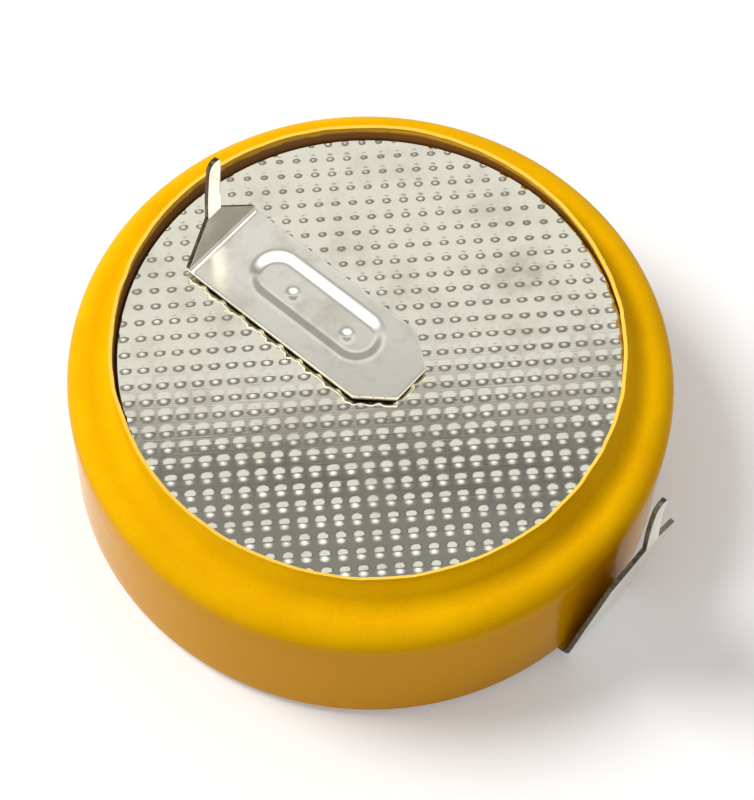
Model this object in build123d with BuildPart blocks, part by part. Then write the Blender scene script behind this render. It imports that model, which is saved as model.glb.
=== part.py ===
from build123d import *

import os

# Lithium / manganese dioxide coin cell with two solder tabs and a shrunk sleeve.
# Frame: +Z is the cell's axis, from the can's base to the cap. z = 0 is the underside of
# the positive tab, the lowest plane. The tabs lie along X: positive +X, negative -X.

# ---- driving dimensions, in millimetres --------------------------------------------

cell_diameter = 24.5      # over the steel can
cell_height = 7.7         # from the can's base to the cap's face
can_sheet = 0.25          # steel of the can
can_base_radius = 0.4     # outer radius round the can's base
crimp_radius = 0.8        # outer radius where the can's rim is rolled in
crimp_drop = 0.9          # rolled rim lies this far below the cap's face
crimp_reach = 1.1         # width of the rolled rim, measured in from the can's wall

cap_sheet = 0.25          # steel of the cap
cap_drum_diameter = 20.8  # raised drum that carries the flat face
cap_corner_radius = 0.4   # outer radius round the face
cap_bend_radius = 0.3     # outer radius of the cap's other bends

gasket_wall = 0.5         # plastic between the can's wall and the cap's skirt
gasket_foot = 0.45        # plastic under the skirt's edge
gasket_lip_wall = 0.45    # inner wall of the groove that the skirt stands in
gasket_lip_height = 1.2   # height of that inner wall
gasket_edge_radius = 0.1  # round edges where the plastic bulges out of the crimp
gasket_foot_radius = 0.2  # outer corner at the can's floor

pellet_height = 4.9       # pressed cathode pellet
pellet_chamfer = 0.2      # lower edge of the pellet
ring_sheet = 0.2          # collector ring's steel
ring_bend_radius = 0.3    # outer radius of the ring's bend
ring_foot = 1.4           # how far the ring's foot reaches in under the pellet
ring_height = 3.0
separator_overhang = 0.15  # the separator's edge passes the pellet's by this much
separator_sheet = 0.2

sleeve_film = 0.15        # shrunk film
sleeve_corner_radius = 0.35   # outer radius round the base
sleeve_shoulder_radius = 0.95  # outer radius over the crimped rim
sleeve_valley_radius = 0.35   # hollow between the rim and the drum
sleeve_valley_gap = 0.1   # room between the drum and the film in that hollow
sleeve_base_reach = 1.4   # how far the film turns in under the base
sleeve_lip_rise = 0.35    # the lip stands this far above the cap's face
sleeve_lip_lean = 0.27    # the lip leans in by this much from the valley

tab_width = 4.0
tab_sheet = 0.2
tab_bend_radius = 0.25    # inner radius of the tabs' bends
tab_stand = 0.2           # the strip stands off the pole by this pressed depth
tab_tip_overrun = 2.2     # the strip's end passes the cell's axis by this much
tab_tip_along = 1.4       # chamfer of the strip's end, along the strip
tab_tip_across = 1.1      # and across it
pad_length = 6.5          # pressed obround pad that is welded to the pole
pad_width = 2.3
pad_slope = 0.3           # plan width of the pad's sloping wall
weld_diameter = 0.55      # spot weld marks in the pad
weld_depth = 0.06
weld_spacing = 2.9

pin_width = 0.75          # solder pins
pin_taper = 1.5           # height in which an upright strip narrows to its pin
pin_tip_length = 0.45     # rounded-off end
pin_tip_width = 0.4
pin_length = 3.6
shoulder_stand = 1.75     # both pins' shoulders stand this far above the cap's face
negative_bend_reach = 7.9     # from the axis to the negative tab's bend
negative_lean = 0.55      # the negative strip leans out by this much from bend to pin
positive_lean = 1.38      # and the positive strip by this much

seat_gap = 0.02           # clearance of pieces that nest in each other
sleeve_gap = 0.02         # between the film and the steel
tab_gap = 0.05            # between a tab and the film it passes
ring_gap = 0.05           # between the ring and the pellet's wall
ring_side_gap = 0.51      # between the ring and the gasket's inner wall
anode_side_gap = 0.85     # between the lithium disc and the cap's drum

# ---- levels and radii that follow --------------------------------------------------

base_z = tab_sheet + tab_stand            # underside of the can's base
face_z = base_z + cell_height             # face of the cap
rim_z = face_z - crimp_drop               # top of the rolled rim
floor_z = base_z + can_sheet              # inside floor of the can
roof_z = face_z - cap_sheet               # inside face of the cap

can_r = cell_diameter / 2
can_bore_r = can_r - can_sheet
rim_inner_r = can_r - crimp_reach
drum_r = cap_drum_diameter / 2
skirt_r = can_bore_r - gasket_wall - seat_gap
skirt_bore_r = skirt_r - cap_sheet
skirt_foot_z = floor_z + gasket_foot + seat_gap
cap_shoulder_z = rim_z - can_sheet - gasket_foot - seat_gap
groove_inner_r = skirt_bore_r - seat_gap

ring_outer_r = groove_inner_r - gasket_lip_wall - ring_side_gap
pellet_r = ring_outer_r - ring_sheet - ring_gap
pellet_top_z = floor_z + pellet_height
separator_top_z = pellet_top_z + separator_sheet
anode_r = drum_r - cap_sheet - anode_side_gap

shoulder_z = face_z + shoulder_stand
pin_top_z = shoulder_z + pin_length


def pad_block(plane):
    """Obround block the height of the stand, with sloping walls, narrow end on the plane."""
    with BuildPart() as block:
        with BuildSketch(plane):
            SlotOverall(pad_length - 2 * pad_slope, pad_width - 2 * pad_slope)
        with BuildSketch(plane.offset(tab_stand)):
            SlotOverall(pad_length, pad_width)
        loft()
    return block.part


def end_view(neck_foot_z, far_z):
    """Outline of a strip and its pin, seen along X: full width below neck_foot_z."""
    half = tab_width / 2
    pin = pin_width / 2
    nose = pin_tip_width / 2
    nose_foot_z = pin_top_z - pin_tip_length
    with BuildSketch(Plane.YZ) as outline:
        with BuildLine():
            Polyline((0, far_z), (half, far_z), (half, neck_foot_z), (pin, shoulder_z))
            Line((pin, shoulder_z), (pin, nose_foot_z))
            Line((pin, nose_foot_z), (nose, pin_top_z))
            Line((nose, pin_top_z), (0, pin_top_z))
            mirror(about=Plane.YZ)
        make_face()
    return outline.sketch


def top_view(tip_x, far_x):
    """Outline of a strip seen from above, with its end chamfered at tip_x."""
    half = tab_width / 2
    flat = half - tab_tip_across
    side = 1 if far_x > tip_x else -1
    with BuildSketch() as outline:
        with BuildLine():
            Line((tip_x, 0), (tip_x, flat))
            Line((tip_x, flat), (tip_x + side * tab_tip_along, half))
            Polyline((tip_x + side * tab_tip_along, half), (far_x, half), (far_x, 0))
            mirror(about=Plane.XZ)
        make_face()
    return outline.sketch


# ---- can and seal ------------------------------------------------------------------

with BuildPart() as cathode_can:
    with BuildSketch(Plane.XZ):
        with BuildLine():
            FilletPolyline(
                (0, base_z),
                (can_r, base_z),
                (can_r, rim_z),
                (rim_inner_r, rim_z),
                radius=[can_base_radius, crimp_radius],
            )
            offset(amount=can_sheet, side=Side.LEFT)
        make_face()
    revolve(axis=Axis.Z)

with BuildPart() as anode_cap:
    with BuildSketch(Plane.XZ):
        with BuildLine():
            FilletPolyline(
                (0, face_z),
                (drum_r, face_z),
                (drum_r, cap_shoulder_z),
                (skirt_r, cap_shoulder_z),
                (skirt_r, skirt_foot_z),
                radius=[cap_corner_radius, cap_bend_radius, cap_bend_radius],
            )
            offset(amount=cap_sheet, side=Side.RIGHT)
        make_face()
    revolve(axis=Axis.Z)

with BuildPart() as gasket:
    gasket_r = can_bore_r - seat_gap
    groove_r = skirt_r + seat_gap
    collar_r = drum_r + seat_gap
    collar_z = rim_z - seat_gap
    under_rim_z = rim_z - can_sheet - seat_gap
    rim_edge_r = rim_inner_r - seat_gap
    over_shoulder_z = cap_shoulder_z + seat_gap
    crimp_inner_radius = crimp_radius - can_sheet - seat_gap
    with BuildSketch(Plane.XZ):
        with BuildLine():
            FilletPolyline(
                (groove_inner_r - gasket_lip_wall, floor_z),
                (gasket_r, floor_z),
                (gasket_r, under_rim_z),
                (rim_edge_r, under_rim_z),
                (rim_edge_r, collar_z),
                (collar_r, collar_z),
                (collar_r, over_shoulder_z),
                (groove_r, over_shoulder_z),
                (groove_r, floor_z + gasket_foot),
                (groove_inner_r, floor_z + gasket_foot),
                (groove_inner_r, floor_z + gasket_lip_height),
                (groove_inner_r - gasket_lip_wall, floor_z + gasket_lip_height),
                close=True,
                radius=[
                    0,
                    gasket_foot_radius,
                    crimp_inner_radius,
                    0,
                    gasket_edge_radius,
                    gasket_edge_radius,
                    cap_bend_radius + seat_gap,
                    cap_bend_radius + seat_gap,
                    0,
                    0,
                    gasket_edge_radius,
                    gasket_edge_radius,
                ],
            )
        make_face()
    revolve(axis=Axis.Z)

# ---- electrodes --------------------------------------------------------------------

with BuildPart() as collector_ring:
    with BuildSketch(Plane.XZ):
        with BuildLine():
            FilletPolyline(
                (ring_outer_r - ring_foot - ring_sheet, floor_z),
                (ring_outer_r, floor_z),
                (ring_outer_r, floor_z + ring_height),
                radius=ring_bend_radius,
            )
            offset(amount=ring_sheet, side=Side.LEFT)
        make_face()
    revolve(axis=Axis.Z)

with BuildPart() as cathode_pellet:
    foot_r = ring_outer_r - ring_foot - ring_sheet - ring_gap
    ledge_z = floor_z + ring_sheet + ring_gap
    with BuildSketch(Plane.XZ):
        with BuildLine():
            Polyline(
                (0, floor_z),
                (foot_r, floor_z),
                (foot_r, ledge_z),
                (pellet_r - pellet_chamfer, ledge_z),
                (pellet_r, ledge_z + pellet_chamfer),
                (pellet_r, pellet_top_z),
                (0, pellet_top_z),
                close=True,
            )
        make_face()
    revolve(axis=Axis.Z)

with BuildPart() as separator:
    with BuildSketch(Plane.XY.offset(pellet_top_z)):
        Circle(pellet_r + separator_overhang)
    extrude(amount=separator_sheet)

with BuildPart() as lithium_anode:
    with BuildSketch(Plane.XY.offset(separator_top_z)):
        Circle(anode_r)
    extrude(amount=roof_z - separator_top_z)

# ---- sleeve ------------------------------------------------------------------------

with BuildPart() as shrink_sleeve:
    film = sleeve_film + sleeve_gap
    sleeve_r = can_r + film
    valley_r = drum_r + film + sleeve_valley_gap
    with BuildSketch(Plane.XZ):
        with BuildLine():
            FilletPolyline(
                (sleeve_r - sleeve_base_reach, base_z - film),
                (sleeve_r, base_z - film),
                (sleeve_r, rim_z + film),
                (valley_r, rim_z + film),
                (valley_r - sleeve_lip_lean, face_z + sleeve_lip_rise),
                radius=[sleeve_corner_radius, sleeve_shoulder_radius, sleeve_valley_radius],
            )
            offset(amount=sleeve_film, side=Side.LEFT)
        make_face()
    revolve(axis=Axis.Z)

# ---- tabs --------------------------------------------------------------------------

with BuildPart() as negative_tab:
    strip_z = face_z + tab_stand
    tip_x = tab_tip_overrun
    bend_x = -negative_bend_reach
    pin_x = bend_x - negative_lean
    with BuildSketch(Plane.XZ):
        with BuildLine():
            FilletPolyline(
                (tip_x, strip_z + tab_sheet),
                (bend_x, strip_z + tab_sheet),
                (pin_x, shoulder_z),
                (pin_x, pin_top_z),
                radius=tab_bend_radius,
            )
            offset(amount=tab_sheet, side=Side.LEFT)
        make_face()
    extrude(amount=tab_width / 2, both=True)
    extrude(end_view(strip_z + tab_sheet, strip_z - tab_stand), amount=cell_diameter, both=True,
            mode=Mode.INTERSECT)
    extrude(top_view(tip_x, pin_x - tab_width), amount=pin_top_z, mode=Mode.INTERSECT)
    pad_x = (tip_x + bend_x) / 2
    pad_foot = Plane((pad_x, 0, face_z))
    add(pad_block(pad_foot))
    add(pad_block(pad_foot.offset(tab_sheet)), mode=Mode.SUBTRACT)
    with BuildSketch(pad_foot.offset(tab_sheet)):
        with GridLocations(weld_spacing, 1, 2, 1):
            Circle(weld_diameter / 2)
    extrude(amount=-weld_depth, mode=Mode.SUBTRACT)

with BuildPart() as positive_tab:
    tip_x = -tab_tip_overrun
    bend_x = can_r + film + tab_gap
    pin_x = bend_x + positive_lean
    with BuildSketch(Plane.XZ):
        with BuildLine():
            FilletPolyline(
                (tip_x, tab_sheet),
                (bend_x, tab_sheet),
                (pin_x, shoulder_z),
                (pin_x, pin_top_z),
                radius=tab_bend_radius,
            )
            offset(amount=tab_sheet, side=Side.RIGHT)
        make_face()
    extrude(amount=tab_width / 2, both=True)
    extrude(end_view(shoulder_z - pin_taper, 0), amount=cell_diameter, both=True,
            mode=Mode.INTERSECT)
    extrude(top_view(tip_x, pin_x + tab_width), amount=pin_top_z, mode=Mode.INTERSECT)
    pad_x = (tip_x + negative_bend_reach) / 2
    pad_top = Plane((pad_x, 0, base_z), x_dir=(1, 0, 0), z_dir=(0, 0, -1))
    add(pad_block(pad_top))
    add(pad_block(pad_top.offset(tab_sheet)), mode=Mode.SUBTRACT)
    with BuildSketch(pad_top.offset(tab_sheet)):
        with GridLocations(weld_spacing, 1, 2, 1):
            Circle(weld_diameter / 2)
    extrude(amount=-weld_depth, mode=Mode.SUBTRACT)

# ---- output ------------------------------------------------------------------------

cathode_can.part.label = "cathode_can"
anode_cap.part.label = "anode_cap"
gasket.part.label = "gasket"
collector_ring.part.label = "collector_ring"
cathode_pellet.part.label = "cathode_pellet"
separator.part.label = "separator"
lithium_anode.part.label = "lithium_anode"
shrink_sleeve.part.label = "shrink_sleeve"
negative_tab.part.label = "negative_tab"
positive_tab.part.label = "positive_tab"

os.makedirs("parts", exist_ok=True)
export_step(cathode_can.part, "parts/cathode_can.step")
export_step(anode_cap.part, "parts/anode_cap.step")
export_step(gasket.part, "parts/gasket.step")
export_step(collector_ring.part, "parts/collector_ring.step")
export_step(cathode_pellet.part, "parts/cathode_pellet.step")
export_step(separator.part, "parts/separator.step")
export_step(lithium_anode.part, "parts/lithium_anode.step")
export_step(shrink_sleeve.part, "parts/shrink_sleeve.step")
export_step(negative_tab.part, "parts/negative_tab.step")
export_step(positive_tab.part, "parts/positive_tab.step")
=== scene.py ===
"""Looks of a sleeved lithium coin cell with two solder tabs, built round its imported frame."""

import logging
import math
from dataclasses import dataclass
from enum import Enum
from typing import Any, Callable, Sequence

import bmesh
import bpy
from mathutils import Matrix, Vector, noise


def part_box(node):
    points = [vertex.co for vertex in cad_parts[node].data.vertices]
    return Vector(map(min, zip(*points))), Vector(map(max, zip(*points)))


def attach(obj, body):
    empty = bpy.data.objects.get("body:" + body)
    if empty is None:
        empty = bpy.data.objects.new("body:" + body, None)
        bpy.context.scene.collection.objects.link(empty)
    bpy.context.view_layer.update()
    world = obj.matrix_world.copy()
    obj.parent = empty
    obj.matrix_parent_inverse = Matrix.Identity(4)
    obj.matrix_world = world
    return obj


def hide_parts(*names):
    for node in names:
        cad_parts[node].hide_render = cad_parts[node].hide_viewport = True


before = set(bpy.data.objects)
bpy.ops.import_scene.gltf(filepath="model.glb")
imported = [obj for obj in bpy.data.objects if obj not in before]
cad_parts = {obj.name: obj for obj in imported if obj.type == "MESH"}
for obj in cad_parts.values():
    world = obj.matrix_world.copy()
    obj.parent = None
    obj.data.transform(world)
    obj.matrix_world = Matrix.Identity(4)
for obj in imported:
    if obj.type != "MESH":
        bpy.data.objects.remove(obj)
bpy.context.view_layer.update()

LOG = logging.getLogger("coin_cell")
MM = 0.001                 # metres in a millimetre; every size below is in millimetres
PER_M = 1000.0             # millimetres in a metre, for shader coordinates
ROOT = "root"              # the one body, because nothing on the cell moves

Colour = tuple[float, float, float]
Point2 = tuple[float, float]


class Slot(Enum):
    """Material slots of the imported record."""

    SLEEVE = "sleeve_film"
    CAN = "can_steel"
    CAP = "cap_steel"
    TAB = "tab_steel"
    SEAL = "seal_plastic"
    LITHIUM = "lithium"
    FLEECE = "separator_fleece"
    CATHODE = "cathode_mix"


class Pole(Enum):
    """The two poles that carry a solder tab, with the way each strip runs along X."""

    NEGATIVE = -1
    POSITIVE = 1


# ---- small geometry helpers ---------------------------------------------------------


def node_box(name: str) -> tuple[Vector, Vector]:
    """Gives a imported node's lowest and highest corner in millimetres.

    Args:
        name: The node's name.

    Returns:
        The two corners.
    """
    low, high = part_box(name)
    return low / MM, high / MM


def ease(value: float, start: float, end: float) -> float:
    """Gives 0 before start, 1 after end and a smooth rise between them."""
    part = min(max((value - start) / (end - start), 0.0), 1.0)
    return part * part * (3 - 2 * part)


def rounded_corners(points: Sequence[Point2], radii: Sequence[float], steps: int) -> list[Point2]:
    """Rounds the inner corners of an open outline with arcs.

    Args:
        points: The outline's corners, ends included.
        radii: One radius for each inner corner; 0 keeps it sharp.
        steps: Number of chords in each arc.

    Returns:
        The points along the rounded outline.
    """
    path: list[Point2] = [points[0]]
    for before, corner, after, radius in zip(points, points[1:], points[2:], radii):
        here = Vector(corner)
        back = (Vector(before) - here).normalized()
        ahead = (Vector(after) - here).normalized()
        if radius <= 0:
            path.append(corner)
            continue
        half = back.angle(ahead) / 2
        reach = radius / math.tan(half)
        centre = here + (back + ahead).normalized() * (radius / math.sin(half))
        start = here + back * reach - centre
        turn = start.angle_signed(here + ahead * reach - centre)
        for step in range(steps + 1):
            spoke = start.copy()
            spoke.rotate(Matrix.Rotation(-turn * step / steps, 2))
            path.append(tuple(centre + spoke))
    path.append(points[-1])
    return path


def spun(path: Sequence[Point2], segments: int) -> bmesh.types.BMesh:
    """Turns an open outline of radius and height once round the Z axis.

    Args:
        path: Points of radius and height.
        segments: Number of steps round the axis.

    Returns:
        The turned surface, with its doubles merged.
    """
    bm = bmesh.new()
    verts = [bm.verts.new((radius, 0, height)) for radius, height in path]
    edges = [bm.edges.new(pair) for pair in zip(verts, verts[1:])]
    bmesh.ops.spin(bm, geom=verts + edges, cent=(0, 0, 0), axis=(0, 0, 1), dvec=(0, 0, 0),
                   angle=math.tau, steps=segments, use_merge=True, use_duplicate=False)
    bmesh.ops.remove_doubles(bm, verts=bm.verts, dist=1e-5)
    return bm


def as_piece(bm: bmesh.types.BMesh, name: str, sharp_deg: float = 35.0) -> bpy.types.Object:
    """Turns a bmesh in millimetres into an object in metres at the origin.

    Args:
        bm: The mesh; it is freed.
        name: The object's name.
        sharp_deg: Edges that turn by more than this are shaded sharp.

    Returns:
        The linked object.
    """
    bmesh.ops.scale(bm, vec=(MM, MM, MM), verts=bm.verts)
    mesh = bpy.data.meshes.new(name)
    bm.to_mesh(mesh)
    bm.free()
    piece = bpy.data.objects.new(name, mesh)
    bpy.context.scene.collection.objects.link(piece)
    shade(piece, sharp_deg)
    return piece


def shade(piece: bpy.types.Object, sharp_deg: float) -> None:
    """Shades a piece smooth, apart from its sharp edges."""
    piece.data.shade_smooth()
    piece.data.set_sharp_from_angle(angle=math.radians(sharp_deg))


def settle_modifiers(piece: bpy.types.Object, sharp_deg: float = 35.0) -> None:
    """Makes a piece's modifiers part of its mesh.

    Args:
        piece: The piece that carries the modifiers.
        sharp_deg: Edges that turn by more than this are shaded sharp.
    """
    bpy.context.view_layer.update()
    ready = piece.evaluated_get(bpy.context.evaluated_depsgraph_get())
    mesh = bpy.data.meshes.new_from_object(ready)
    piece.modifiers.clear()
    piece.data = mesh
    mesh.name = piece.name
    shade(piece, sharp_deg)


def settle_piece(piece: bpy.types.Object, material: bpy.types.Material | None, slot: Slot,
                 *stands_for: str) -> None:
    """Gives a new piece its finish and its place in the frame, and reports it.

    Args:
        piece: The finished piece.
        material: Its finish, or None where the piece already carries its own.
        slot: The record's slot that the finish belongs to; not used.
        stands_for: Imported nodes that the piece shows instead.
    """
    if material is not None:
        piece.data.materials.clear()
        piece.data.materials.append(material)
    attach(piece, ROOT)
    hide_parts(*stands_for)
    LOG.info("%s: %d faces, shows %s", piece.name, len(piece.data.polygons), ", ".join(stands_for))


# ---- shader writing -----------------------------------------------------------------


class Value:
    """A shader number that adds a Math node whenever it is used in arithmetic."""

    def __init__(self, graph: "Graph", socket: bpy.types.NodeSocket) -> None:
        """Keeps the graph and the socket that carries the number."""
        self.graph = graph
        self.socket = socket

    def _math(self, operation: str, *terms: "Value | float") -> "Value":
        """Adds one Math node.

        Args:
            operation: The node's operation.
            terms: Its inputs, in order.

        Returns:
            The node's result.
        """
        made = self.graph.node("ShaderNodeMath", {"operation": operation}, dict(enumerate(terms)))
        return Value(self.graph, made.outputs[0])

    def __add__(self, other: "Value | float") -> "Value":
        """Adds."""
        return self._math("ADD", self, other)

    def __radd__(self, other: float) -> "Value":
        """Adds from the left."""
        return self._math("ADD", other, self)

    def __sub__(self, other: "Value | float") -> "Value":
        """Subtracts."""
        return self._math("SUBTRACT", self, other)

    def __rsub__(self, other: float) -> "Value":
        """Subtracts from the left."""
        return self._math("SUBTRACT", other, self)

    def __mul__(self, other: "Value | float") -> "Value":
        """Multiplies."""
        return self._math("MULTIPLY", self, other)

    def __rmul__(self, other: float) -> "Value":
        """Multiplies from the left."""
        return self._math("MULTIPLY", other, self)

    def __truediv__(self, other: "Value | float") -> "Value":
        """Divides."""
        return self._math("DIVIDE", self, other)

    def band(self, start: float, end: float) -> "Value":
        """Gives a smooth step from 0 at start to 1 at end; it falls if end is lower."""
        low, high = min(start, end), max(start, end)
        made = self.graph.node(
            "ShaderNodeMapRange", {"interpolation_type": "SMOOTHSTEP"},
            {"Value": self, "From Min": low, "From Max": high})
        rise = Value(self.graph, made.outputs["Result"])
        return rise if end > start else 1 - rise

    def highest(self, other: "Value | float") -> "Value":
        """Gives the larger of two numbers."""
        return self._math("MAXIMUM", self, other)

    def arctan2(self, other: "Value") -> "Value":
        """Gives the angle of the pair, in radians."""
        return self._math("ARCTAN2", self, other)


class Graph:
    """The node tree of one material or of the world."""

    def __init__(self, tree: bpy.types.NodeTree) -> None:
        """Empties the tree and keeps it."""
        self.tree = tree
        tree.nodes.clear()

    def node(self, kind: str, settings: dict[str, Any] | None = None,
             inputs: dict[str | int, Any] | None = None) -> bpy.types.Node:
        """Adds a node, sets it up and feeds its sockets.

        Args:
            kind: The node's type.
            settings: Its properties.
            inputs: Numbers, colours, sockets or values for its sockets.

        Returns:
            The node.
        """
        made = self.tree.nodes.new(kind)
        for key, value in (settings or {}).items():
            setattr(made, key, value)
        for key, value in (inputs or {}).items():
            self.feed(made.inputs[key], value)
        return made

    def feed(self, socket: bpy.types.NodeSocket, value: Any) -> None:
        """Links a value or a socket to an input, or writes a constant there."""
        if isinstance(value, Value):
            value = value.socket
        if isinstance(value, bpy.types.NodeSocket):
            self.tree.links.new(value, socket)
        elif isinstance(value, tuple) and len(value) == 3 and socket.type == "RGBA":
            socket.default_value = (*value, 1.0)
        else:
            socket.default_value = value

    def place(self) -> bpy.types.NodeSocket:
        """Gives the point on the piece in millimetres, as a vector."""
        coords = self.node("ShaderNodeTexCoord").outputs["Object"]
        scaled = self.node("ShaderNodeVectorMath", {"operation": "SCALE"},
                           {0: coords, "Scale": PER_M})
        return scaled.outputs["Vector"]

    def split(self, vector: bpy.types.NodeSocket) -> tuple[Value, Value, Value]:
        """Gives a vector's three numbers."""
        made = self.node("ShaderNodeSeparateXYZ", inputs={"Vector": vector})
        return tuple(Value(self, out) for out in made.outputs)

    def along_way(self, vector: bpy.types.NodeSocket, way: Vector) -> Value:
        """Gives how far a vector reaches along a fixed way."""
        made = self.node("ShaderNodeVectorMath", {"operation": "DOT_PRODUCT"},
                         {0: vector, 1: tuple(way)})
        return Value(self, made.outputs["Value"])

    def mottle(self, size: float, detail: float = 3.0, stretch: Colour = (1, 1, 1),
               turn: float = 0.0, rough: float = 0.5) -> Value:
        """Gives cloudy noise from 0 to 1 over the piece.

        Args:
            size: Width of a typical patch, in millimetres.
            detail: Octaves of finer noise.
            stretch: Factors that lengthen the patches along X, Y and Z.
            turn: Turns the pattern round Z, in degrees.
            rough: Strength of each finer octave.

        Returns:
            The noise.
        """
        scale = tuple(1 / (size * factor) for factor in stretch)
        mapped = self.node("ShaderNodeMapping", {"vector_type": "TEXTURE"},
                           {"Vector": self.place(), "Rotation": (0, 0, math.radians(turn)),
                            "Scale": tuple(1 / part for part in scale)})
        made = self.node("ShaderNodeTexNoise", {"noise_dimensions": "3D"},
                         {"Vector": mapped.outputs["Vector"], "Scale": 1.0, "Detail": detail,
                          "Roughness": rough})
        return Value(self, made.outputs["Fac"])

    def blend(self, factor: Value | float, low: Any, high: Any) -> bpy.types.NodeSocket:
        """Mixes two colours.

        Args:
            factor: 0 for the first, 1 for the second.
            low: The first colour, or its socket.
            high: The second colour, or its socket.

        Returns:
            The mixed colour's socket.
        """
        made = self.node("ShaderNodeMix", {"data_type": "RGBA"}, {0: factor, 6: low, 7: high})
        return made.outputs[2]

    def relief(self, height: Value, depth: float, after: Any = None) -> bpy.types.NodeSocket:
        """Turns a height into a bumped normal.

        Args:
            height: Height from 0 to 1.
            depth: Millimetres that a height of 1 stands for.
            after: Normal of a coarser relief underneath.

        Returns:
            The normal's socket.
        """
        inputs = {"Height": height, "Distance": depth * MM, "Strength": 1.0}
        if after is not None:
            inputs["Normal"] = after
        return self.node("ShaderNodeBump", inputs=inputs).outputs["Normal"]


def new_material(name: str) -> tuple[bpy.types.Material, Graph]:
    """Makes an empty node material."""
    material = bpy.data.materials.new(name)
    material.use_nodes = True
    return material, Graph(material.node_tree)


def principled(graph: Graph, inputs: dict[str, Any]) -> None:
    """Adds the surface shader and the output.

    Args:
        graph: The material's graph.
        inputs: The shader's sockets and what they get.
    """
    surface = graph.node("ShaderNodeBsdfPrincipled", inputs=inputs)
    graph.node("ShaderNodeOutputMaterial", inputs={"Surface": surface.outputs["BSDF"]})


# ---- finishes -----------------------------------------------------------------------


@dataclass(frozen=True)
class SleeveFilm:
    """Yellow shrunk vinyl: a satin skin with faint mottling and a fine pebbled grain, its wall
    darkened by painted shade.
    """

    colour: Colour = (0.78, 0.42, 0.001)
    deep: Colour = (0.70, 0.35, 0.001)
    # painted shade: the wall below wall_top gets this darker colour for the light it lacks
    wall: Colour = (0.62, 0.285, 0.001)
    sheen: Colour = (1.0, 0.72, 0.03)   # the pigment tints what the skin mirrors head on
    wall_roughness: float = 0.10
    top_roughness: float = 0.34
    wall_top: float = 6.6       # height above which the film is stretched and duller; below it the colour is the wall's painted shade
    fade: float = 0.6           # the change is spread this far above and below it
    index: float = 1.08         # index of refraction of the skin
    grain_size: float = 0.09
    grain_depth: float = 0.006

    def material(self) -> bpy.types.Material:
        """Builds the finish."""
        material, graph = new_material("sleeve_film")
        _, _, height = graph.split(graph.place())
        cloud = graph.mottle(2.6, detail=2)
        grain = graph.mottle(self.grain_size, detail=2)
        upper = height.band(self.wall_top - self.fade, self.wall_top + self.fade)
        tone = (cloud * 0.6 + grain * 0.5).band(0.3, 0.8)
        body = graph.blend(tone, self.deep, self.colour)
        satin = self.wall_roughness + upper * (self.top_roughness - self.wall_roughness)
        coarse = graph.relief(graph.mottle(0.8, detail=1), 0.02)
        principled(graph, {
            # below wall_top the base colour turns to the wall's painted shade
            "Base Color": graph.blend(upper, self.wall, body),
            "Roughness": satin + grain * 0.05,
            "IOR": self.index,
            "Specular Tint": self.sheen,
            "Normal": graph.relief(grain * (0.25 + upper * 0.75), self.grain_depth, coarse),
        })
        return material


@dataclass(frozen=True)
class SleeveInside:
    """The film's inner side, with painted shade that deepens its colour below its lip."""

    lip_top: float
    colour: Colour = (0.72, 0.36, 0.002)
    # painted shade: the dark brown stands for the shadow under the lip
    painted_shade: Colour = (0.17, 0.06, 0.003)
    painted_shade_below: float = 0.22       # depths under the lip between which the painted shade sets in
    unshaded_above: float = 0.10

    def material(self) -> bpy.types.Material:
        """Builds the finish."""
        material, graph = new_material("sleeve_inside")
        _, _, height = graph.split(graph.place())
        cloud = graph.mottle(0.6)
        unshaded = (height + cloud * 0.1).band(self.lip_top - self.painted_shade_below,
                                            self.lip_top - self.unshaded_above)
        principled(graph, {
            # painted shade: yellow near the lip, dark brown further down
            "Base Color": graph.blend(unshaded, self.painted_shade, self.colour),
            "Roughness": 0.5 + cloud * 0.2,
            "Normal": graph.relief(cloud, 0.01),
        })
        return material


@dataclass(frozen=True)
class SleeveEdge:
    """The cut edge of the film's lip, a painted highlight a little paler than the film."""

    # painted highlight: both edge colours are paler than the film for the light the lip's edge
    # catches
    colour: Colour = (0.86, 0.52, 0.03)
    pale_highlight: Colour = (0.88, 0.60, 0.10)

    def material(self) -> bpy.types.Material:
        """Builds the finish."""
        material, graph = new_material("sleeve_edge")
        principled(graph, {
            "Base Color": graph.blend(graph.mottle(0.5), self.colour, self.pale_highlight),
            "Roughness": 0.5 + graph.mottle(0.2) * 0.2,
        })
        return material


@dataclass(frozen=True)
class RolledSteel:
    """Bright rolled steel with fine lines, soft stains and a darker patch at a given place."""

    name: str
    colour: Colour = (0.79, 0.76, 0.64)
    stain: Colour = (0.60, 0.56, 0.45)
    roughness: float = 0.045
    line_turn: float = 0.0      # direction of the rolling lines, in degrees round Z
    line_depth: float = 0.0005
    stain_share: float = 0.5
    speck_share: float = 0.2
    dark_patch_at: Point2 | None = None
    dark_patch_reach: float = 1.3
    dark_patch_squash: float = 0.45     # the patch is longer along Y than along X
    dark_patch_share: float = 0.75

    def material(self) -> bpy.types.Material:
        """Builds the finish."""
        material, graph = new_material(self.name)
        across, along, _ = graph.split(graph.place())
        cloud = graph.mottle(1.9, detail=4, rough=0.6)
        speck = graph.mottle(0.16, detail=2)
        lines = graph.mottle(0.05, detail=2, stretch=(40, 1, 1), turn=self.line_turn)
        dull = cloud.band(0.42, 0.75) * self.stain_share + speck.band(0.55, 0.8) * self.speck_share
        if self.dark_patch_at is not None:
            dx, dy = across - self.dark_patch_at[0], along - self.dark_patch_at[1]
            away = (dx * dx + dy * dy * self.dark_patch_squash) / self.dark_patch_reach ** 2
            dark_patch = (away + graph.mottle(0.5) * 1.4).band(1.5, 0.5)
            dull = dull + dark_patch * self.dark_patch_share
        principled(graph, {
            "Base Color": graph.blend(dull, self.colour, self.stain),
            "Metallic": 1.0,
            "Roughness": self.roughness + cloud * 0.05 + dull * 0.06,
            "Normal": graph.relief(lines, self.line_depth),
        })
        return material


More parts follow.
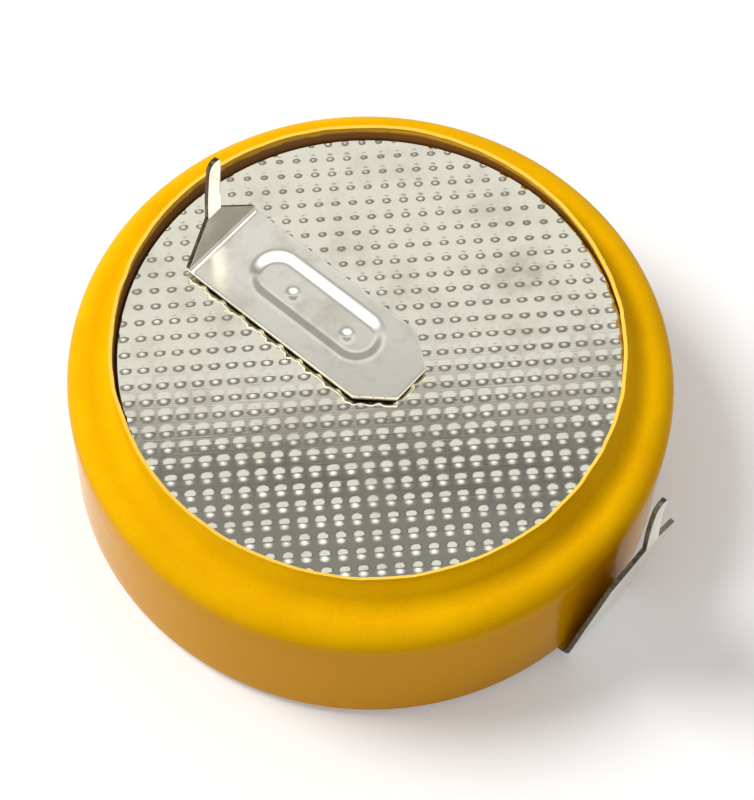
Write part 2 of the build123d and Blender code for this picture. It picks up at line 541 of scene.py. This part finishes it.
@dataclass(frozen=True)
class ShearedEdge:
    """Edge of the sheet where it was cut: dark and torn, with a painted highlight along the
    strip's top.
    """

    strip_top: float
    colour: Colour = (0.17, 0.145, 0.10)
    torn: Colour = (0.07, 0.06, 0.035)
    painted_highlight: Colour = (0.95, 0.90, 0.74)
    painted_highlight_depth: float = 0.115      # the painted highlight reaches this far down
    strip_end: float = 8.0              # and ends here along X

    def material(self) -> bpy.types.Material:
        """Builds the finish."""
        material, graph = new_material("tab_cut_edge")
        torn = graph.mottle(0.18, detail=3, rough=0.6)
        across, _, height = graph.split(graph.place())
        top, foot = self.strip_top, self.strip_top - self.painted_highlight_depth
        # painted highlight: a pale band along the top of the negative strip's plate edge, where
        # the edge catches light
        smooth = (height.band(foot, foot + 0.02) * height.band(top + 0.08, top + 0.02)
                  * across.band(self.strip_end, self.strip_end - 1))
        dark = graph.blend(torn.band(0.35, 0.65), self.colour, self.torn)
        principled(graph, {
            "Base Color": graph.blend(smooth, dark, self.painted_highlight),
            "Metallic": 1.0,
            "Roughness": 0.28 + torn * 0.2,
            "Normal": graph.relief(torn, 0.012),
        })
        return material


@dataclass(frozen=True)
class SealPlastic:
    """Natural moulded plastic, faintly milky."""

    colour: Colour = (0.74, 0.73, 0.67)

    def material(self) -> bpy.types.Material:
        """Builds the finish."""
        material, graph = new_material("seal_plastic")
        cloud = graph.mottle(1.5)
        principled(graph, {
            "Base Color": graph.blend(cloud.band(0.3, 0.7), self.colour, (0.66, 0.65, 0.58)),
            "Roughness": 0.4 + cloud * 0.15,
            "Normal": graph.relief(graph.mottle(0.15), 0.004),
        })
        return material


@dataclass(frozen=True)
class LithiumMetal:
    """Soft silver-grey lithium, dulled by a thin skin."""

    colour: Colour = (0.55, 0.55, 0.57)

    def material(self) -> bpy.types.Material:
        """Builds the finish."""
        material, graph = new_material("lithium")
        cloud = graph.mottle(2.0, detail=5, rough=0.6)
        principled(graph, {
            "Base Color": graph.blend(cloud.band(0.35, 0.7), self.colour, (0.30, 0.30, 0.33)),
            "Metallic": 1.0,
            "Roughness": 0.45 + cloud * 0.2,
            "Normal": graph.relief(graph.mottle(0.3, detail=4), 0.01),
        })
        return material


@dataclass(frozen=True)
class SeparatorFleece:
    """White non-woven fibres, pressed flat."""

    colour: Colour = (0.86, 0.86, 0.83)

    def material(self) -> bpy.types.Material:
        """Builds the finish."""
        material, graph = new_material("separator_fleece")
        one_way = graph.mottle(0.05, stretch=(12, 1, 1), turn=25)
        other_way = graph.mottle(0.05, stretch=(12, 1, 1), turn=-40)
        fibres = one_way.highest(other_way)
        principled(graph, {
            "Base Color": graph.blend(fibres.band(0.4, 0.7), (0.70, 0.70, 0.67), self.colour),
            "Roughness": 0.9,
            "Normal": graph.relief(fibres, 0.02),
        })
        return material


@dataclass(frozen=True)
class CathodeMix:
    """Black pressed powder with a faint graphite glint."""

    colour: Colour = (0.022, 0.022, 0.025)

    def material(self) -> bpy.types.Material:
        """Builds the finish."""
        material, graph = new_material("cathode_mix")
        grain = graph.mottle(0.12, detail=4, rough=0.65)
        principled(graph, {
            "Base Color": graph.blend(grain.band(0.45, 0.8), self.colour, (0.07, 0.07, 0.075)),
            "Roughness": 0.75 - grain * 0.25,
            "Normal": graph.relief(grain, 0.02),
        })
        return material


# ---- pieces -------------------------------------------------------------------------


@dataclass
class Sleeve:
    """The shrunk film, from its turned-in base edge up to the free lip round the cap."""

    film: float = 0.15
    base_reach: float = 1.4     # how far the film turns in under the base
    base_radius: float = 0.35
    shoulder_radius: float = 0.95
    valley_radius: float = 0.85
    valley_r: float = 10.67     # foot of the lip
    rim_drop: float = 1.08      # the rolled rim's film lies this far below the lip
    lip_lean: float = 0.27
    lip_shift: Point2 = (-0.35, 0.16)   # the film shrank off centre by this much
    lip_slack: float = 0.08             # and stayed wider than its outline by this much
    lip_wave: float = 0.05
    lip_fray: float = 0.012
    nick_at: float = -156.0             # bearing of a nick in the lip, in degrees
    nick_spread: float = 2.6
    nick_depth: float = 0.12
    segments: int = 432

    def profile(self) -> list[Point2]:
        """Gives the outer outline as points of radius and height."""
        low, high = node_box("shrink_sleeve")
        wall_r = high.x
        rim_z = high.z - self.rim_drop
        corners = [
            (wall_r - self.base_reach, low.z),
            (wall_r, low.z),
            (wall_r, rim_z),
            (self.valley_r, rim_z - 0.04),
            (self.valley_r - self.lip_lean, high.z),
        ]
        radii = [self.base_radius, self.shoulder_radius, self.valley_radius]
        return rounded_corners(corners, radii, 12)

    def settle_lip(self, bm: bmesh.types.BMesh) -> None:
        """Moves the lip off centre and gives it the slight wave of shrunk film.

        Args:
            bm: The sleeve's mesh, in millimetres.
        """
        _, high = node_box("shrink_sleeve")
        _, cap_high = node_box("anode_cap")
        for vert in bm.verts:
            rise = ease(vert.co.z, cap_high.z - 0.35, high.z)
            around = Vector((vert.co.x, vert.co.y, 0)).normalized()
            wave = noise.noise(around * 3.1) + 0.6 * noise.noise(around * 11.0)
            outer = ease(vert.co.z, high.z - self.rim_drop - 0.9, high.z - self.rim_drop)
            slack = noise.noise(around * 2.2 + Vector((0, 0, 5))) * 0.03 * outer * (1 - rise)
            vert.co.x += self.lip_shift[0] * rise
            vert.co.y += self.lip_shift[1] * rise
            fray = noise.noise(around * 47.0) * self.lip_fray * rise
            vert.co += around * (wave * self.lip_wave * rise + self.lip_slack * rise + fray)
            bearing = math.degrees(math.atan2(around.y, around.x)) - self.nick_at
            nick = max(0.0, 1 - abs(bearing) / self.nick_spread) * self.nick_depth
            vert.co.z += slack - (wave * wave * 0.04 + nick) * rise - abs(fray)

    def build(self, outside: bpy.types.Material, inside: bpy.types.Material,
              edge: bpy.types.Material) -> bpy.types.Object:
        """Builds the film's mesh.

        Args:
            outside: Finish of the printed side.
            inside: Finish of the side that lies on the steel.
            edge: Finish of the lip's cut edge.

        Returns:
            The sleeve.
        """
        lip_top = node_box("shrink_sleeve")[1].z
        bm = spun(self.profile(), self.segments)
        dense = [edge for edge in bm.edges
                 if abs(edge.verts[0].co.z - edge.verts[1].co.z) > 0.4]
        bmesh.ops.subdivide_edges(bm, edges=dense, cuts=3, use_grid_fill=True)
        self.settle_lip(bm)
        bmesh.ops.recalc_face_normals(bm, faces=bm.faces)
        first_verts = set(bm.verts)
        lip = {vert for vert in bm.verts if vert.is_boundary and vert.co.z > lip_top - 1}
        bmesh.ops.solidify(bm, geom=bm.faces[:], thickness=self.film)
        bmesh.ops.recalc_face_normals(bm, faces=bm.faces)
        for face in bm.faces:
            spot = face.calc_center_median()
            inward = -(face.normal.x * spot.x + face.normal.y * spot.y) / spot.xy.length
            face.material_index = int(inward > 0.3)
            corners = set(face.verts)
            if corners & lip and corners - first_verts:
                face.material_index = 2
        piece = as_piece(bm, "shrink_sleeve_film", 50)
        for material in (outside, inside, edge):
            piece.data.materials.append(material)
        return piece


@dataclass
class Cap:
    """The negative cap: a pressed steel cup whose face carries a grid of small raised pips."""

    sheet: float = 0.25
    drum_r: float = 10.4
    corner_radius: float = 0.4
    bend_radius: float = 0.3
    shoulder_drop: float = 1.62     # the cup's shoulder lies this far below the face
    pip_pitch: Point2 = (0.734, 0.711)
    pip_turn: Point2 = (-44.6, 47.0)    # direction of each family of rows, in degrees
    pip_radius: float = 0.19
    pip_height: float = 0.036
    ground_drop: float = 0.046      # the face between the pips lies this far below their tops
    sway: float = 0.004             # slow waviness of the pressed face
    samples: int = 8                # mesh steps in one pitch
    segments: int = 192

    def cup(self) -> bpy.types.Object:
        """Builds the plain cup, a little taller than its face so that the pips stay whole."""
        low, high = node_box("anode_cap")
        top = high.z + 2 * self.pip_height
        shoulder = high.z - self.shoulder_drop
        corners = [(0, top), (self.drum_r, top), (self.drum_r, shoulder), (high.x, shoulder),
                   (high.x, low.z)]
        bm = spun(rounded_corners(corners, [self.corner_radius, self.bend_radius,
                                            self.bend_radius], 10), self.segments)
        bmesh.ops.recalc_face_normals(bm, faces=bm.faces)
        outward = max(bm.faces, key=lambda face: face.calc_center_median().z).normal.z
        if outward < 0:
            bmesh.ops.reverse_faces(bm, faces=bm.faces)
        bmesh.ops.solidify(bm, geom=bm.faces[:], thickness=self.sheet)
        bmesh.ops.recalc_face_normals(bm, faces=bm.faces)
        return as_piece(bm, "anode_cap_steel")

    def pip(self, x: float, y: float) -> float:
        """Gives the face's height above its plane at a point.

        Args:
            x: Place along X, in millimetres.
            y: Place along Y.

        Returns:
            The height.
        """
        away = []
        for pitch, turn in zip(self.pip_pitch, self.pip_turn):
            lead = math.radians(turn)
            rows = (x * math.cos(lead) + y * math.sin(lead)) / pitch
            away.append(abs(rows - round(rows)) * pitch / self.pip_radius)
        spread = (away[0] ** 2.6 + away[1] ** 2.6) ** (1 / 2.6)
        cell = noise.noise(Vector((round(x / 0.9), round(y / 0.9), 2.0)) * 0.37)
        worn = 1 + 0.35 * cell
        return self.pip_height * worn * max(0.0, 1 - spread * spread) ** 1.5

    def pip_block(self) -> bpy.types.Object:
        """Builds the block whose top is the pipped face; it cuts the cup's face."""
        low, high = node_box("anode_cap")
        side = self.drum_r * 2.06
        cells = round(side / (sum(self.pip_pitch) / 2) * self.samples)
        bm = bmesh.new()
        bmesh.ops.create_grid(bm, x_segments=cells, y_segments=cells, size=side / 2)
        bmesh.ops.rotate(bm, verts=bm.verts, cent=(0, 0, 0),
                         matrix=Matrix.Rotation(math.radians(self.pip_turn[1] - 0.8), 3, "Z"))
        for vert in bm.verts:
            spot = Vector((vert.co.x, vert.co.y, 0))
            wavy = self.sway * noise.noise(spot * 0.3) + 2 * self.sway * noise.noise(spot * 0.1)
            vert.co.z = high.z - self.ground_drop + wavy + self.pip(vert.co.x, vert.co.y)
        rim = [edge for edge in bm.edges if edge.is_boundary]
        grown = bmesh.ops.extrude_edge_only(bm, edges=rim)
        foot = [item for item in grown["geom"] if isinstance(item, bmesh.types.BMVert)]
        for vert in foot:
            vert.co.z = low.z - 2
        foot_edges = [item for item in grown["geom"]
                      if isinstance(item, bmesh.types.BMEdge) and item.is_boundary]
        bmesh.ops.contextual_create(bm, geom=foot_edges)
        bmesh.ops.recalc_face_normals(bm, faces=bm.faces)
        return as_piece(bm, "pip_block")

    def build(self) -> bpy.types.Object:
        """Builds the cap: the cup with its face cut to the pipped surface.

        Returns:
            The cap.
        """
        cup = self.cup()
        block = self.pip_block()
        cut = cup.modifiers.new("pips", "BOOLEAN")
        cut.operation = "INTERSECT"
        cut.solver = "MANIFOLD"
        cut.object = block
        settle_modifiers(cup, 40)
        bpy.data.objects.remove(block)
        return cup


@dataclass
class BentPath:
    """A strip's middle line in side view: straight runs joined by bends of one radius."""

    corners: Sequence[Point2]
    radius: float

    def __post_init__(self) -> None:
        """Works out the runs, the bends and the whole length."""
        self.runs: list[tuple[float, Vector, Vector, float]] = []
        spot = Vector(self.corners[0])
        walked = 0.0
        self.bend_middles: list[float] = []
        points = [Vector(corner) for corner in self.corners]
        for before, corner, after in zip(points, points[1:], points[2:]):
            way = (corner - before).normalized()
            onward = (after - corner).normalized()
            turn = -way.angle_signed(onward)
            reach = self.radius * math.tan(abs(turn) / 2)
            straight = (corner - spot).length - reach
            self.runs.append((walked, spot.copy(), way, 0.0))
            walked += straight
            spot = spot + way * straight
            self.runs.append((walked, spot.copy(), way, math.copysign(1 / self.radius, turn)))
            self.bend_middles.append(walked + self.radius * abs(turn) / 2)
            walked += self.radius * abs(turn)
            spot = corner + onward * reach
        last = (points[-1] - points[-2]).normalized()
        self.runs.append((walked, spot.copy(), last, 0.0))
        self.length = walked + (points[-1] - spot).length

    def at(self, along: float) -> tuple[Vector, Vector]:
        """Gives the point and the upper normal at a distance along the strip.

        Args:
            along: Distance from the strip's end, in millimetres.

        Returns:
            The point and the normal, each of x and z.
        """
        start, spot, way, curl = max(
            (run for run in self.runs if run[0] <= along + 1e-9), key=lambda run: run[0])
        ahead = along - start
        left = Vector((-way.y, way.x))
        if curl == 0.0:
            return spot + way * ahead, left
        swing = curl * ahead
        here = spot + (way * math.sin(swing) + left * (1 - math.cos(swing))) / curl
        return here, left * math.cos(swing) - way * math.sin(swing)


@dataclass
class Tab:
    """A solder tab: a blanked strip with a pressed pad, bent up and narrowed to a pin."""

    pole: Pole
    width: float = 4.0
    sheet: float = 0.2
    stand: float = 0.2
    bend_radius: float = 0.25
    shoulder_z: float = 9.85
    bend_x: float = 7.9         # the strip's upper or inner face meets the bend here
    taper: float = 1.5
    tip_along: float = 1.4
    tip_across: float = 1.1
    pad_length: float = 6.5
    pad_width: float = 2.3
    pad_slope: float = 0.55
    pad_x: float = -2.85
    pad_y: float = 0.0
    weld_spacing: float = 2.9
    weld_off: Point2 = (0.0, 0.0)       # the two welds' middle, seen from the pad's
    weld_radius: float = 0.36
    weld_depth: float = 0.075
    pin_width: float = 0.75
    pin_tip: float = 0.5
    step: float = 0.09          # spacing of the mesh lines
    edge_radius: float = 0.03
    set_off: float = 0.0        # the strip was welded this far off centre
    pin_off: float = 0.0        # and its pin's top stands this far off centre
    bow: float = 0.05           # the pin bulges this far towards -X

    @property
    def node(self) -> str:
        """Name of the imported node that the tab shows."""
        return f"{self.pole.name.lower()}_tab"

    def path(self) -> BentPath:
        """Gives the strip's middle line, from its end near the axis to the pin's top."""
        low, high = node_box(self.node)
        side = self.pole.value
        half = self.sheet / 2
        pin_top = high.z - self.bow / 4
        if self.pole is Pole.NEGATIVE:
            plate_z = low.z + self.stand + half
            tip_x, pin_x = high.x, low.x + half
        else:
            plate_z = low.z + half
            tip_x, pin_x = low.x, high.x - half
        foot_x = side * (self.bend_x + half)
        corners = [(tip_x, plate_z), (foot_x, plate_z), (pin_x, self.shoulder_z),
                   (pin_x, pin_top)]
        return BentPath(corners, self.bend_radius + half)

    def blank(self, path: BentPath) -> bmesh.types.BMesh:
        """Cuts the flat blank and scores it into small faces.

        Args:
            path: The strip's middle line, for the lengths.

        Returns:
            The flat blank.
        """
        half = self.width / 2
        pin = self.pin_width / 2
        bend, shoulder = path.bend_middles
        turned = path.runs[2][0]
        neck = max(shoulder - self.taper, turned)
        side = [(0.0, half - self.tip_across), (self.tip_along, half), (neck, half),
                (shoulder, pin), (path.length - self.pin_tip, pin * 0.9)]
        rounds = 6
        for index in range(1, rounds):
            swing = math.pi / 2 * index / rounds
            side.append((path.length - self.pin_tip * (1 - math.sin(swing)),
                         pin * 0.9 * math.cos(swing) ** 0.8))
        side.append((path.length, pin * 0.12))
        bm = bmesh.new()
        loop = side + [(s, -v) for s, v in reversed(side)]
        bm.faces.new([bm.verts.new((s, v, 0)) for s, v in loop])
        cuts = [neck, shoulder] + self.lines(0, path.length, self.step)
        for start, end in ((bend - 0.4, bend + 0.4), (shoulder - 0.3, shoulder + 0.3)):
            cuts += self.lines(start, end, self.step / 2)
        for place in cuts:
            self.score(bm, (place, 0, 0), (1, 0, 0))
        for place in self.lines(-half, half, self.step):
            self.score(bm, (0, place, 0), (0, 1, 0))
        bmesh.ops.remove_doubles(bm, verts=bm.verts, dist=1e-4)
        return bm

    @staticmethod
    def lines(start: float, end: float, step: float) -> list[float]:
        """Gives evenly spaced places strictly between start and end."""
        count = max(1, round((end - start) / step))
        return [start + (end - start) * index / count for index in range(1, count)]

    @staticmethod
    def score(bm: bmesh.types.BMesh, spot: Colour, across: Colour) -> None:
        """Divides the blank's faces along a line."""
        bmesh.ops.bisect_plane(bm, geom=bm.verts[:] + bm.edges[:] + bm.faces[:], dist=1e-5,
                               plane_co=spot, plane_no=across)

    def pressed(self, x: float, y: float) -> float:
        """Gives how far the press pushed the strip towards its pole at a point.

        Args:
            x: Place along X on the plate, in millimetres.
            y: Place across it.

        Returns:
            The depth.
        """
        run = (self.pad_length - self.pad_width) / 2
        dx, dy = x - self.pad_x, y - self.pad_y
        outside = math.hypot(max(abs(dx) - run, 0.0), dy) - self.pad_width / 2
        depth = self.stand * (1 - ease(outside, -self.pad_slope + 0.1, 0.1))
        for side in (-0.5, 0.5):
            away = math.hypot(dx - side * self.weld_spacing - self.weld_off[0],
                              dy - self.weld_off[1]) / self.weld_radius
            depth += self.weld_depth * (1 - ease(away, 0.0, 1.0))
        return depth

    def build(self, faces: bpy.types.Material, cut: bpy.types.Material) -> bpy.types.Object:
        """Builds the strip: blanked, pressed, bent and given its thickness.

        Args:
            faces: Finish of the rolled faces.
            cut: Finish of the sheared edges.

        Returns:
            The tab.
        """
        path = self.path()
        bm = self.blank(path)
        plate_end = path.runs[1][0]
        shoulder = path.bend_middles[1]
        for vert in bm.verts:
            spot, normal = path.at(vert.co.x)
            if vert.co.x < plate_end:
                spot = spot + normal * self.pressed(spot.x, vert.co.y)
            up_pin = max(vert.co.x - shoulder, 0.0) / (path.length - shoulder)
            risen = max(vert.co.x - path.bend_middles[0], 0.0) / (path.length - plate_end)
            lean = self.set_off + (self.pin_off - self.set_off) * min(risen, 1.0)
            belly = self.bow * math.sin(math.pi * up_pin)
            vert.co = (spot.x - belly, vert.co.y + lean, spot.y)
        bmesh.ops.recalc_face_normals(bm, faces=bm.faces)
        piece = as_piece(bm, f"{self.node}_strip", 30)
        for material in (faces, cut):
            piece.data.materials.append(material)
        thick = piece.modifiers.new("sheet", "SOLIDIFY")
        thick.thickness = self.sheet * MM
        thick.offset = 0.0
        thick.use_even_offset = True
        thick.material_offset_rim = 1
        edge = piece.modifiers.new("edge", "BEVEL")
        edge.width = self.edge_radius * MM
        edge.segments = 2
        edge.limit_method = "ANGLE"
        edge.angle_limit = math.radians(50)
        settle_modifiers(piece, 30)
        return piece


@dataclass
class HiddenPieces:
    """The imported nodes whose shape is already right: they only get their finish."""

    finishes: dict[str, tuple[Slot, Callable[[], bpy.types.Material]]]

    def dress(self) -> None:
        """Gives each node its finish."""
        for name, (slot, finish) in self.finishes.items():
            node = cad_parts[name]
            if not node.material_slots:
                node.data.materials.append(None)
            for holder in node.material_slots:
                holder.material = finish()
            LOG.info("%s: packed node with finish %s", name, slot.value)


# ---- studio -------------------------------------------------------------------------


@dataclass
class Studio:
    """Pale floor, soft light and the camera."""

    azimuth: float = 37.4       # the camera stands at this turn round the cell
    elevation: float = 62.17
    roll: float = 3.49
    distance: float = 109.4
    target: tuple[float, float, float] = (0.129, 0.325, 3.73)
    lens: float = 117.4
    sensor: float = 36.0
    floor_z: float = 0.0
    key_power: float = 1.4
    key_size: float = 180.0
    key_turn: float = 77.0      # from straight behind the cell towards the camera's left
    key_rise: float = 53.0
    ambient: float = 0.53
    ambient_behind: float = 0.17        # more of it comes from behind the cell
    ambient_left: float = 0.05          # and from the left
    floor_glow: float = 0.18            # share of plain white in the floor as seen
    floor_glow_level: float = 1.2
    walls: float = 0.42                 # brightness of the mirrored room's walls
    ceiling: float = 0.54               # its ceiling is brighter by this much
    ceiling_rise: Point2 = (0.62, 0.74)
    horizon: float = 0.5                # and so is the stretch near the floor
    horizon_fall: Point2 = (0.34, 0.20)
    card: float = 0.66                  # a grey card hangs behind the cell
    card_start: Point2 = (61.4, 62.6)   # angles over the horizon, seen from the side
    card_end: Point2 = (75, 67)
    card_slant: float = 9.0
    slit: float = 0.28                  # a darker slit crosses the card
    slit_start: Point2 = (63.2, 63.45)
    slit_end: Point2 = (64.15, 63.9)
    top_light: float = 1.1              # a bright panel hangs overhead
    top_start: Point2 = (77, 81)
    top_end: Point2 = (134, 122)
    ripple_scale: float = 14.0
    ripple: float = 1.2                 # waviness of the bands, in degrees

    def back(self, azimuth: float, elevation: float) -> Vector:
        """Gives the unit vector from the cell towards a place round it, angles in degrees."""
        turn, rise = math.radians(azimuth), math.radians(elevation)
        return Vector((math.sin(turn) * math.cos(rise), -math.cos(turn) * math.cos(rise),
                       math.sin(rise)))

    def add_camera(self) -> None:
        """Stands the camera in its place and makes it the scene's."""
        away = self.back(self.azimuth, self.elevation)
        right = Vector((0, 0, 1)).cross(away).normalized()
        upward = away.cross(right)
        turn = math.radians(self.roll)
        side = right * math.cos(turn) + upward * math.sin(turn)
        top = upward * math.cos(turn) - right * math.sin(turn)
        spot = (Vector(self.target) + away * self.distance) * MM
        data = bpy.data.cameras.new("camera")
        data.lens = self.lens
        data.sensor_width = self.sensor
        data.clip_start = 0.005
        camera = bpy.data.objects.new("camera", data)
        camera.matrix_world = Matrix((
            (side.x, top.x, away.x, spot.x),
            (side.y, top.y, away.y, spot.y),
            (side.z, top.z, away.z, spot.z),
            (0, 0, 0, 1)))
        bpy.context.scene.collection.objects.link(camera)
        bpy.context.scene.camera = camera

    def add_floor(self) -> None:
        """Lays the pale floor, which keeps the cell's shadow."""
        bm = bmesh.new()
        bmesh.ops.create_grid(bm, x_segments=1, y_segments=1, size=1500)
        bmesh.ops.translate(bm, verts=bm.verts, vec=(0, 0, self.floor_z))
        floor = as_piece(bm, "floor")
        material, graph = new_material("floor_card")
        light = graph.node("ShaderNodeLightPath")
        seen = Value(graph, light.outputs["Is Camera Ray"])
        mirrored = Value(graph, light.outputs["Is Glossy Ray"])
        card = graph.node("ShaderNodeBsdfDiffuse", inputs={"Color": (0.88, 0.875, 0.865)})
        glow = graph.node("ShaderNodeEmission", inputs={"Color": (1.0, 0.995, 0.985),
                                                        "Strength": self.floor_glow_level})
        mixed = graph.node("ShaderNodeMixShader", inputs={
            0: seen.highest(mirrored) * self.floor_glow, 1: card.outputs[0], 2: glow.outputs[0]})
        graph.node("ShaderNodeOutputMaterial", inputs={"Surface": mixed.outputs[0]})
        floor.data.materials.append(material)

    def add_key(self) -> None:
        """Hangs the key light: a large soft box behind and to the left."""
        data = bpy.data.lights.new("key", "AREA")
        data.shape = "DISK"
        data.size = self.key_size * MM
        data.energy = self.key_power
        away = self.back(self.azimuth + 180 + self.key_turn, self.key_rise)
        key = bpy.data.objects.new("key", data)
        key.location = away * 400 * MM
        key.rotation_euler = away.to_track_quat("Z", "Y").to_euler()
        key.visible_glossy = False
        bpy.context.scene.collection.objects.link(key)

    def add_world(self) -> None:
        """Sets the room round the cell: even for matt surfaces, banded for bright metal."""
        world = bpy.data.worlds.new("room")
        world.use_nodes = True
        bpy.context.scene.world = world
        graph = Graph(world.node_tree)
        ray = graph.node("ShaderNodeTexCoord").outputs["Generated"]
        behind = -self.back(self.azimuth, 0)
        right = Vector((0, 0, 1)).cross(-behind)
        _, _, height = graph.split(ray)
        swing = height.arctan2(graph.along_way(ray, behind)) * (180 / math.pi)
        ripple = graph.node("ShaderNodeTexNoise", inputs={
            "Vector": ray, "Scale": self.ripple_scale, "Detail": 2.0})
        swing = swing + (Value(graph, ripple.outputs["Fac"]) - 0.5) * self.ripple
        slanted = swing + graph.along_way(ray, right) * self.card_slant
        high_up = height.band(*self.ceiling_rise)
        horizon = height.band(*self.horizon_fall) * self.horizon
        card = slanted.band(*self.card_start) * swing.band(*self.card_end) * self.card
        slit = swing.band(*self.slit_start) * swing.band(*self.slit_end) * self.slit
        panel = swing.band(*self.top_start) * swing.band(*self.top_end) * self.top_light
        mirrored = self.walls + horizon + high_up * (self.ceiling - card - slit + panel)
        light = graph.node("ShaderNodeLightPath")
        seen = Value(graph, light.outputs["Is Camera Ray"])
        glossy = Value(graph, light.outputs["Is Glossy Ray"])
        soft = self.ambient + graph.along_way(
            ray, behind * self.ambient_behind - right * self.ambient_left)
        level = glossy * mirrored + (1 - glossy) * soft
        level = seen + (1 - seen) * level
        shell = graph.node("ShaderNodeBackground", inputs={"Color": (1.0, 1.0, 1.0),
                                                           "Strength": level})
        graph.node("ShaderNodeOutputWorld", inputs={"Surface": shell.outputs[0]})

    def build(self) -> None:
        """Sets up the whole studio."""
        self.add_camera()
        self.add_floor()
        self.add_key()
        self.add_world()
        bpy.context.scene.view_settings.view_transform = "Standard"


# ---- assembly -----------------------------------------------------------------------


def main() -> None:
    """Builds every piece in order."""
    logging.basicConfig(level=logging.INFO, format="%(name)s: %(message)s")
    Studio().build()
    lip_top = node_box("shrink_sleeve")[1].z
    film = Sleeve().build(SleeveFilm().material(), SleeveInside(lip_top).material(),
                          SleeveEdge().material())
    settle_piece(film, None, Slot.SLEEVE, "shrink_sleeve")
    strip_low, _ = node_box("negative_tab")
    cap_steel = RolledSteel("cap_steel", dark_patch_at=(2.0, 7.0), line_turn=45)
    settle_piece(Cap().build(), cap_steel.material(), Slot.CAP, "anode_cap")
    tab_steel = RolledSteel("tab_steel", colour=(0.84, 0.81, 0.72), roughness=0.17,
                            line_depth=0.0002, stain_share=0.6).material()
    cut_edge = ShearedEdge(strip_low.z + 0.34).material()
    negative = Tab(Pole.NEGATIVE, stand=0.14, pad_x=-3.03, pad_y=0.22,
                   weld_off=(0.34, -0.19), set_off=-0.17, pin_off=0.15)
    positive = Tab(Pole.POSITIVE, bend_x=12.47, pad_x=2.85)
    for tab in (negative, positive):
        settle_piece(tab.build(tab_steel, cut_edge), None, Slot.TAB, tab.node)
    can_steel = RolledSteel("can_steel", roughness=0.24)
    HiddenPieces({
        "cathode_can": (Slot.CAN, can_steel.material),
        "collector_ring": (Slot.CAN, can_steel.material),
        "gasket": (Slot.SEAL, SealPlastic().material),
        "lithium_anode": (Slot.LITHIUM, LithiumMetal().material),
        "separator": (Slot.FLEECE, SeparatorFleece().material),
        "cathode_pellet": (Slot.CATHODE, CathodeMix().material),
    }).dress()


if __name__ == "__main__":
    main()
